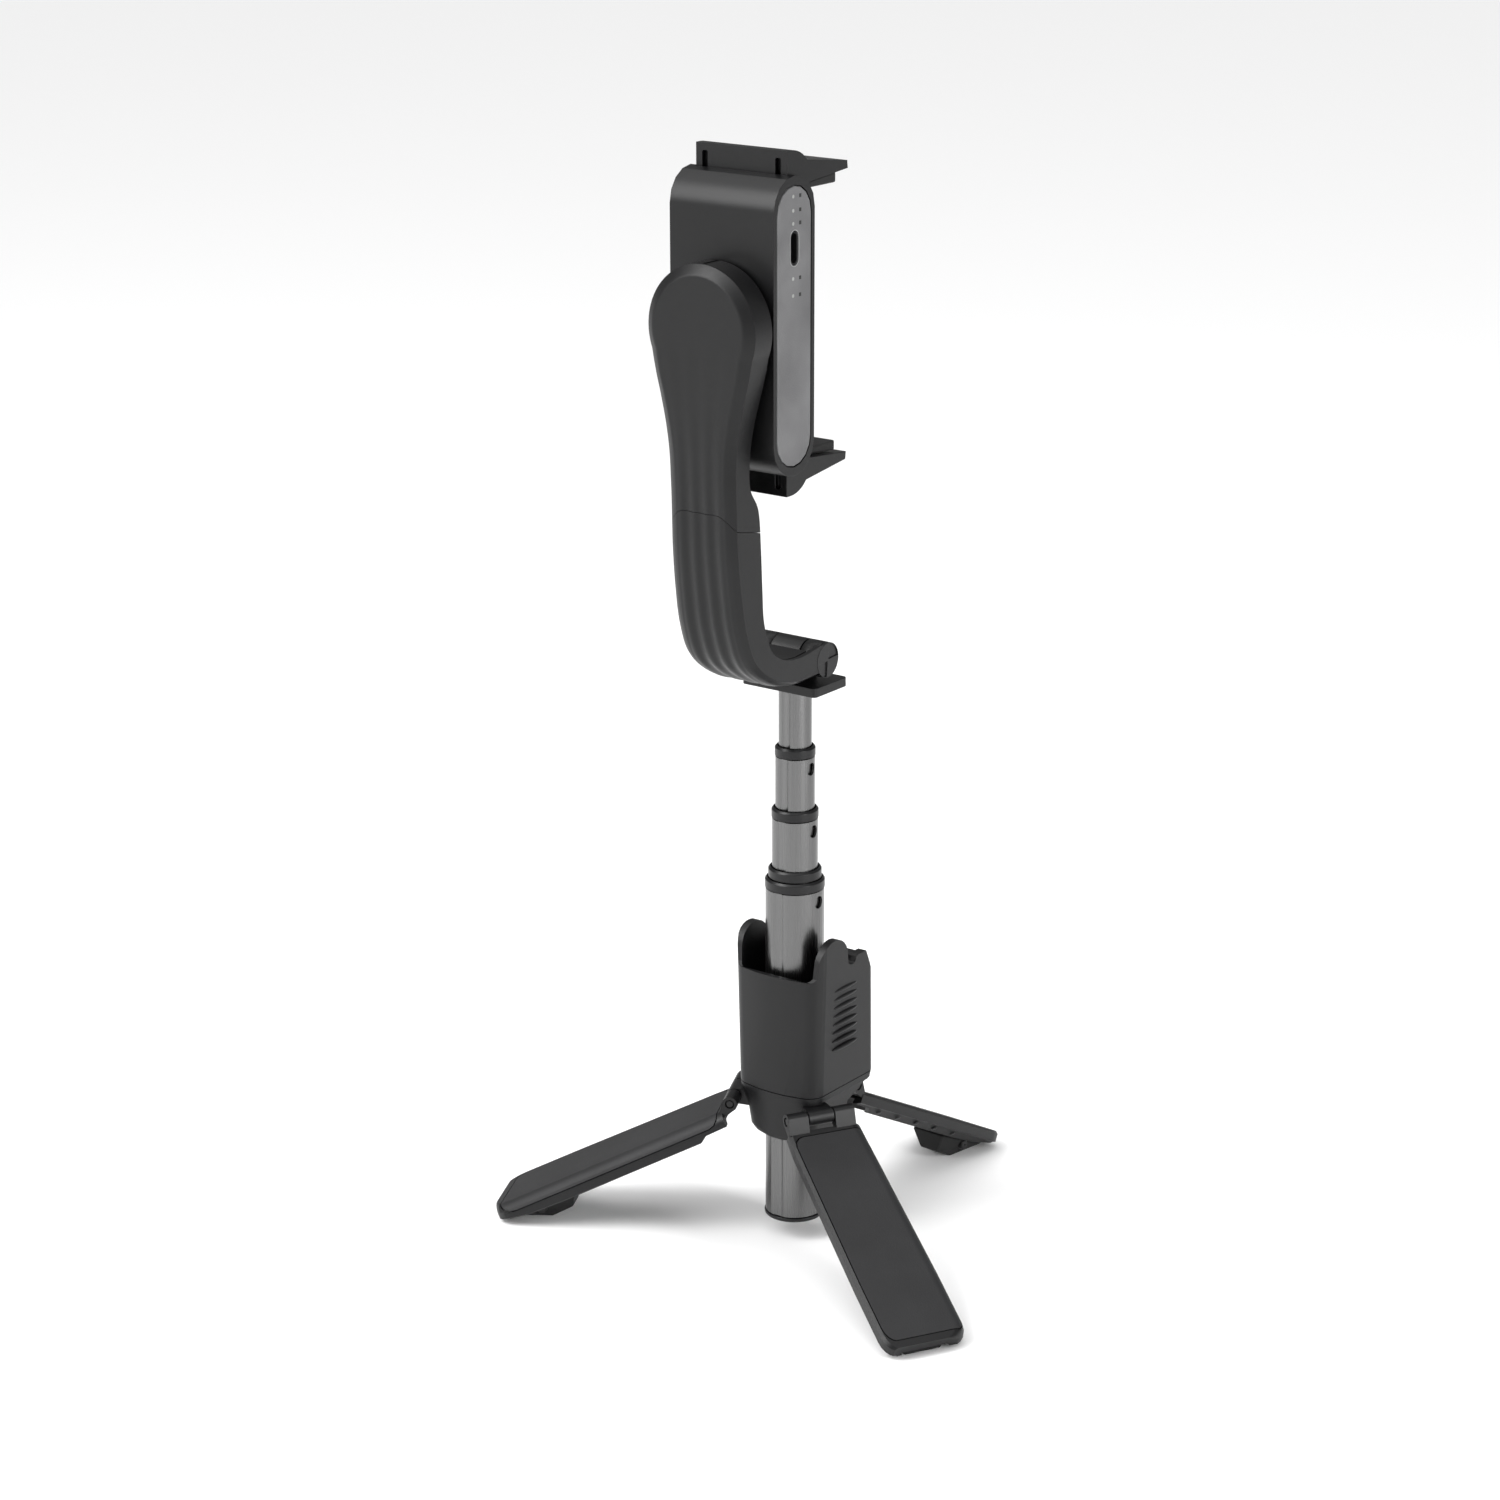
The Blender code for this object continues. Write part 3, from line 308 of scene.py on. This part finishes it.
# ---------------------------------------------------------------- legs
# Each leg is a hollow moulding with a panel glued into its top, and a rubber foot under its tip.
# The panel has a coarse sparkling grain, so it looks greyer than the frame around it.
grain_panel = moulded_plastic("sanded_polycarbonate", "#232324", "#1e1e1f", 0.55, 0.5, 1.0)
for number in (1, 2, 3):
    eased(f"leg_frame_{number}", eroded_abs, "black_abs", 0.45)
    eased(f"leg_panel_{number}", grain_panel, "textured_panel", 0.3)
    eased(f"leg_foot_{number}", soft_rubber, "black_rubber", 0.5)
    eased(f"leg_pin_{number}", plain_abs, "steel", 0.15)

# Each leg's slanting flange carries five small dark screw heads, and a stub axle crosses each
# foot. All are set out in the leg's own frame.
LEG_HEADINGS = ((1, 87.0), (2, 205.0), (3, 330.0))   # degrees round the column
LEG_SLOPE = 27.5                   # degrees below level
LEG_PIN = (0.0175, 0.0, 0.0438)    # the hinge pin: distance out from the column, and height
SCREW_SIZE = (0.0009, 0.0009, 0.00025)
AXLE = [(0.3, -7.6), (1.3, -7.6), (1.6, -7.3), (1.6, 7.3), (1.3, 7.6), (0.3, 7.6)]
for number, heading in LEG_HEADINGS:
    on_leg = Matrix.Translation(place(0.0, 0.0, 0.0)) @ Matrix.Rotation(math.radians(heading), 4, "Z")
    on_leg = on_leg @ Matrix.Translation(LEG_PIN) @ Matrix.Rotation(math.radians(LEG_SLOPE), 4, "Y")
    repeated_bars(f"flange_screws_{number}", plain_abs, (0.0155, -0.00975, -0.00606),
                  (0.0105, -0.0001, 0.0), 5, SCREW_SIZE, f"leg_{number}", "black_abs",
                  math.radians(-40.0), on_leg)
    turned(f"foot_axle_{number}", AXLE, Vector((70.5, 0.0, -8.3)) * MM, "Y", plain_abs,
           "black_polyamide", f"leg_{number}", 32, on_leg)

# ---------------------------------------------------------------- telescopic column
# Five nested tubes of extruded aluminium, anodised dark grey. Each has a pressed key groove, and
# a dark polyamide collar that is snapped over its upper end.


def anodised(name, colour, roughness):
    """Anodised aluminium: faint drawing lines along the tube, 0.25 mm apart."""
    made, tree, shader = new_material(name)
    where = add_node(tree, "ShaderNodeTexCoord").outputs["Object"]
    long_way = add_node(tree, "ShaderNodeMapping", values={"Scale": (1.0, 1.0, 0.012)}, Vector=where)
    lines = add_node(tree, "ShaderNodeTexNoise", values={"Scale": 4000.0, "Detail": 2.0},
                     Vector=long_way.outputs["Vector"])
    tone = add_node(tree, "ShaderNodeValToRGB", Fac=lines.outputs["Fac"])
    tone.color_ramp.elements[0].color = linear(colour)
    tone.color_ramp.elements[1].color = tuple(c * 1.25 for c in linear(colour)[:3]) + (1.0,)
    gloss = add_node(tree, "ShaderNodeMapRange", values={"To Min": roughness - 0.05,
                                                         "To Max": roughness + 0.07},
                     Value=lines.outputs["Fac"])
    tree.links.new(tone.outputs["Color"], shader.inputs["Base Color"])
    tree.links.new(gloss.outputs["Result"], shader.inputs["Roughness"])
    shader.inputs["Metallic"].default_value = 1.0
    return made


grey_anodised = anodised("anodised_aluminium_grey", "#646464", 0.27)
collar_polyamide = moulded_plastic("glass_filled_polyamide", "#131314", "#101011", 0.34, 0.5, 0.15)
for number in (1, 2, 3, 4, 5):
    eased(f"tube_{number}", grey_anodised, "anodised_aluminium", 0.0, 22.0)
for number in (2, 3, 4, 5):
    eased(f"tube_{number}_collar", collar_polyamide, "black_polyamide", 0.2)
eased("tube_5_end_cap", collar_polyamide, "black_polyamide", 0.2)

# ---------------------------------------------------------------- platform and hinge
# The hinge plate is screwed on the thinnest tube. A steel pin joins its knuckle to the arm, and
# round caps with a quartered face close the pin's ends.
eased("platform", eroded_abs, "black_abs", 0.5)
eased("barrel_cap_left", plain_abs, "black_polyamide", 0.12)
eased("barrel_cap_right", plain_abs, "black_polyamide", 0.12)

# ---------------------------------------------------------------- tilting arm
# Two hollow ABS shells end to end, with a curved joint line between them. The back is bevelled
# along both edges, and five soft flutes run down it and round the bend to the hinge.
BACK_FRONT_HALF = (                # back face (Y, Z), front face (Y, Z) and half width, in mm
    (-45.3, 262.0, -36.2, 262.0, 14.2), (-45.2, 254.0, -36.8, 254.0, 12.5),
    (-45.1, 246.0, -37.0, 246.0, 11.4), (-44.9, 238.0, -36.6, 237.0, 11.1),
    (-44.6, 230.0, -32.8, 230.0, 11.1), (-44.2, 219.0, -31.8, 219.0, 11.2),
    (-42.9, 207.0, -31.4, 207.0, 11.4), (-40.7, 195.5, -30.9, 198.0, 11.6),
    (-36.2, 185.6, -28.0, 189.6, 11.8), (-27.0, 178.8, -22.4, 185.4, 11.9),
    (-16.0, 175.6, -14.4, 184.0, 11.9), (-5.2, 175.6, -4.2, 185.2, 11.9))
HEAD_CENTRE_Z = 280.0
HEAD_RADIUS = 18.0


def through(keys, steps):
    """Catmull-Rom rows through rows of numbers."""
    rows = []
    for i in range(len(keys) - 1):
        four = keys[max(i - 1, 0)], keys[i], keys[i + 1], keys[min(i + 2, len(keys) - 1)]
        for step in range(steps):
            t = step / steps
            rows.append(tuple(0.5 * (2 * b + (c - a) * t + (2 * a - 5 * b + 4 * c - d) * t * t
                                     + (3 * b - a - 3 * c + d) * t ** 3) for a, b, c, d in zip(*four)))
    return rows + [tuple(keys[-1])]


arm_rows = []
for angle in range(87, -23, -3):
    turn = math.radians(angle)
    z = HEAD_CENTRE_Z + HEAD_RADIUS * math.sin(turn)
    arm_rows.append((-45.3, z, -35.9, z, HEAD_RADIUS * math.cos(turn)))
arm_rows.append((-45.3, 267.6, -36.0, 267.6, 15.7))
arm_rows += through(BACK_FRONT_HALF, 8)
ACROSS = 64                        # points across the arm's back
SEAM_ROW = next(i for i, row in enumerate(arm_rows) if row[1] < 230.4)


def arm_row(position):
    low = min(int(position), len(arm_rows) - 2)
    share = position - low
    return tuple(a + (b - a) * share for a, b in zip(arm_rows[low], arm_rows[low + 1]))


def arm_point(position, u, deep, wall=0.0):
    """A point of the arm's skin: u runs across the back, deep is 0 on the back and 1 at the front."""
    back_y, back_z, front_y, front_z, half = arm_row(position)
    back = Vector((0.0, back_y, back_z))
    inward = Vector((0.0, front_y - back_y, front_z - back_z))
    thick = inward.length
    inward.normalize()
    x = u * (half - wall)
    below = HEAD_CENTRE_Z - back_z
    edge = half - abs(x)
    if below < 7.0:
        edge = HEAD_RADIUS - wall - math.hypot(x, below)
    bevel = 1.9 * max(0.0, 1.0 - max(edge, 0.0) / 2.9) ** 1.15
    strength = min(max((position - 30.0) / 55.0, 0.0), 1.0)
    flute = 0.55 * strength * (0.5 - 0.5 * math.cos(2.0 * math.pi * 2.5 * (u + 1.0)))
    flute *= min(max(edge - 1.5, 0.0) / 2.5, 1.0)
    depth = max(bevel + flute, 0.0) + wall
    depth += (thick - depth) * deep
    return back + inward * depth + Vector((x, 0.0, 0.0))


def arm_shell(name, first, last, rows, seam_at_end, node):
    """One shell: rows of points down the arm, with the joint line bowed down towards the sides."""
    work = bmesh.new()
    loops = []
    for k in range(rows + 1):
        share = k / rows
        ring = []

        def spot(u, deep, wall=0.0):
            bow = 3.2 * max(abs(u) - 0.55, 0.0) ** 1.5 / 0.3 + 1.6 * deep
            start = first if seam_at_end else first + bow
            stop = last + bow if seam_at_end else last
            return place(*arm_point(start + (stop - start) * share, u, deep, wall))

        ring += [spot(-1.0, d) for d in (1.0, 0.75, 0.5, 0.25)]
        ring += [spot(-1.0 + 2.0 * i / ACROSS, 0.0) for i in range(ACROSS + 1)]
        ring += [spot(1.0, d) for d in (0.25, 0.5, 0.75, 1.0)]
        ring += [spot(1.0, 1.0, 1.5), spot(1.0, 0.5, 1.5)]
        ring += [spot(1.0 - 2.0 * i / 16, 0.0, 1.5) for i in range(17)]
        ring += [spot(-1.0, 0.5, 1.5), spot(-1.0, 1.0, 1.5)]
        loops.append([work.verts.new(p) for p in ring])
    for ring, after in zip(loops, loops[1:]):
        for i in range(len(ring)):
            j = (i + 1) % len(ring)
            work.faces.new((ring[i], ring[j], after[j], after[i]))
    work.faces.new(loops[0])
    work.faces.new(loops[-1][::-1])
    bmesh.ops.recalc_face_normals(work, faces=work.faces)
    mesh = bpy.data.meshes.new(name)
    work.to_mesh(mesh)
    work.free()
    mesh.materials.append(eroded_abs)
    mesh.shade_smooth()
    mesh.set_sharp_from_angle(angle=math.radians(35.0))
    return link_piece(name, mesh, "arm", "black_abs", node)


arm_shell("arm_upper_shell_finish", 0.0, SEAM_ROW - 0.06, 110, True, "arm_upper_shell")
arm_shell("arm_lower_shell_finish", SEAM_ROW + 0.06, len(arm_rows) - 1.0, 90, False, "arm_lower_shell")
eased("arm_cover", eroded_abs, "black_abs", 0.0, 40.0)

hinge = place(0.0, -0.8, 180.3)
KNUCKLE_ENDS = (5.3, 10.8)         # each knuckle's near and far end, in mm from the middle
for side, name in ((1, "right"), (-1, "left")):
    low, high = sorted(side * end for end in KNUCKLE_ENDS)
    turned(f"hinge_knuckle_{name}", [(1.8, low), (4.9, low), (5.15, low + 0.3), (5.15, high - 0.3),
                                     (4.9, high), (1.8, high)], hinge, "X", eroded_abs, "black_abs", "arm")

# The motor's skirt closes the gap between the round head and the clamp.
motor = place(0.0, 0.0, HEAD_CENTRE_Z)
turned("motor_skirt", [(5.0, -35.8), (16.9, -35.8), (17.3, -35.5), (17.3, -35.1), (16.9, -34.8),
                       (5.0, -34.8)], motor, "Y", plain_abs, "black_polyamide", "arm")
eased("motor_cover", plain_abs, "black_polyamide", 0.2)

# ---------------------------------------------------------------- clamp case
# The case is a bent ABS shell round the battery and the drive, closed at each end by a grey
# panel that is glued into a shallow recess.
satin_abs = moulded_plastic("satin_abs", "#0d0d0e", "#0a0a0b", 0.37, 0.35, 0.25)
silver_paint = moulded_plastic("sprayed_metallic_paint", "#666667", "#545455", 0.45, 0.4, 1.0)
eased("case_shell", satin_abs, "black_abs", 0.55)
eased("case_cover", satin_abs, "black_abs", 0.3)
eased("end_panel_right", silver_paint, "grey_panel", 0.3, segments=3)
eased("end_panel_left", silver_paint, "grey_panel", 0.3, segments=3)
eased("power_button", plain_abs, "black_polyamide", 0.25)


def raised(name, outlines, low, high, look, slot, body):
    """Thin tabs standing on a face that looks along X, from outlines of (Y, Z) pairs in mm."""
    work = bmesh.new()
    for outline in outlines:
        base = [work.verts.new(place(low, y, z)) for y, z in outline]
        top = [work.verts.new(place(high, y, z)) for y, z in outline]
        work.faces.new(base[::-1])
        work.faces.new(top)
        for i in range(len(base)):
            j = (i + 1) % len(base)
            work.faces.new((base[i], base[j], top[j], top[i]))
    bmesh.ops.recalc_face_normals(work, faces=work.faces)
    mesh = bpy.data.meshes.new(name)
    work.to_mesh(mesh)
    work.free()
    mesh.materials.append(look)
    mesh.shade_smooth()
    mesh.set_sharp_from_angle(angle=math.radians(40.0))
    return link_piece(name, mesh, body, slot)


def disc(y, z, radius, steps=24):
    return [(y + radius * math.cos(2 * math.pi * i / steps), z + radius * math.sin(2 * math.pi * i / steps))
            for i in range(steps)]


def square(y, z, half):
    return [(y - half, z - half), (y + half, z - half), (y + half, z + half), (y - half, z + half)]


# Five frosted light windows are pressed through the panel, three above the inlet and two below,
# each with a plain printed square beside it. The light grey ring round the inlet's edge is a painted
# highlight.
clear_window = moulded_plastic("frosted_window", "#8f908e", "#868785", 0.35, 0.4, 0.2)
printed_dark = moulded_plastic("printed_dark_grey", "#262626", "#222222", 0.6, 0.4, 0.2)
# Light grey for the inlet's edge: a painted highlight, where the edge catches the light.
painted_highlight_edge = moulded_plastic("painted_highlight_on_edge", "#8c8c8c", "#848484", 0.4, 0.4, 0.2)
WINDOW_ROWS = (315.4, 311.6, 308.1, 293.3, 288.7)
PANEL_ROOT = 17.3                  # the raised tabs start 0.1 mm under the panel's face
raised("light_windows", [disc(-25.6, z, 0.5) for z in WINDOW_ROWS], PANEL_ROOT, 17.44,
       clear_window, "grey_panel", "clamp")
raised("window_marks", [square(-22.4, z, 0.5) for z in WINDOW_ROWS], PANEL_ROOT, 17.42,
       printed_dark, "grey_panel", "clamp")


INLET_Y, INLET_Z = -25.0, 301.5


def rim_loop(half_width, half_height, steps=12):
    """A slot's outline about the inlet's centre: two half circles with straight sides."""
    loop = []
    for sign, first in ((1, 0.0), (-1, math.pi)):
        for i in range(steps + 1):
            turn = first + math.pi * i / steps
            loop.append((INLET_Y + half_width * math.cos(turn),
                         INLET_Z + sign * (half_height - half_width) + half_width * math.sin(turn)))
    return loop


inner_rim, outer_rim = rim_loop(1.9, 4.8), rim_loop(2.1, 5.0)
# This ring carries the painted highlight along the inlet's edge.
raised("inlet_rim", [(outer_rim[i], outer_rim[(i + 1) % len(outer_rim)],
                      inner_rim[(i + 1) % len(inner_rim)], inner_rim[i]) for i in range(len(inner_rim))],
       PANEL_ROOT, 17.48, painted_highlight_edge, "grey_panel", "clamp")

# ---------------------------------------------------------------- jaws
# Each jaw is one ABS moulding, with a rubber pad bonded under its finger.
for name in ("upper", "lower"):
    eased(f"jaw_{name}", satin_abs, "black_abs", 0.35)
    eased(f"jaw_pad_{name}", soft_rubber, "black_rubber", 0.5)

# ---------------------------------------------------------------- inner parts
# What shows only through gaps: turned and stamped steel, the board, the cell and the bushes.


def plain_metal(name, colour, roughness):
    """Bright steel with a faint turned or ground grain."""
    made, tree, shader = new_material(name)
    where = add_node(tree, "ShaderNodeTexCoord").outputs["Object"]
    marks = add_node(tree, "ShaderNodeTexNoise", values={"Scale": 900.0, "Detail": 4.0}, Vector=where)
    gloss = add_node(tree, "ShaderNodeMapRange", values={"To Min": roughness - 0.08,
                                                         "To Max": roughness + 0.1},
                     Value=marks.outputs["Fac"])
    tree.links.new(gloss.outputs["Result"], shader.inputs["Roughness"])
    shader.inputs["Base Color"].default_value = linear(colour)
    shader.inputs["Metallic"].default_value = 1.0
    return made


inner_looks = {
    "steel": plain_metal("ground_steel", "#a8a8a6", 0.32),
    "motor_metal": plain_metal("nickel_plated_iron", "#9a948c", 0.38),
    "black_polyamide": collar_polyamide,
    "black_abs": eroded_abs,
    "circuit_board": moulded_plastic("solder_mask", "#1e5a35", "#1a4f2f", 0.35, 1.2, 0.3),
    "battery_wrap": moulded_plastic("shrink_film", "#3b4a6b", "#35435f", 0.25, 2.0, 0.1),
}
slots = {part["node"]: part["material_slot"] for part in frame["record"]["subparts"]}
for node, solid in frame["nodes"].items():
    look = inner_looks.get(slots[node])
    if look and not solid.hide_render:
        solid.data.materials.clear()
        solid.data.materials.append(look)
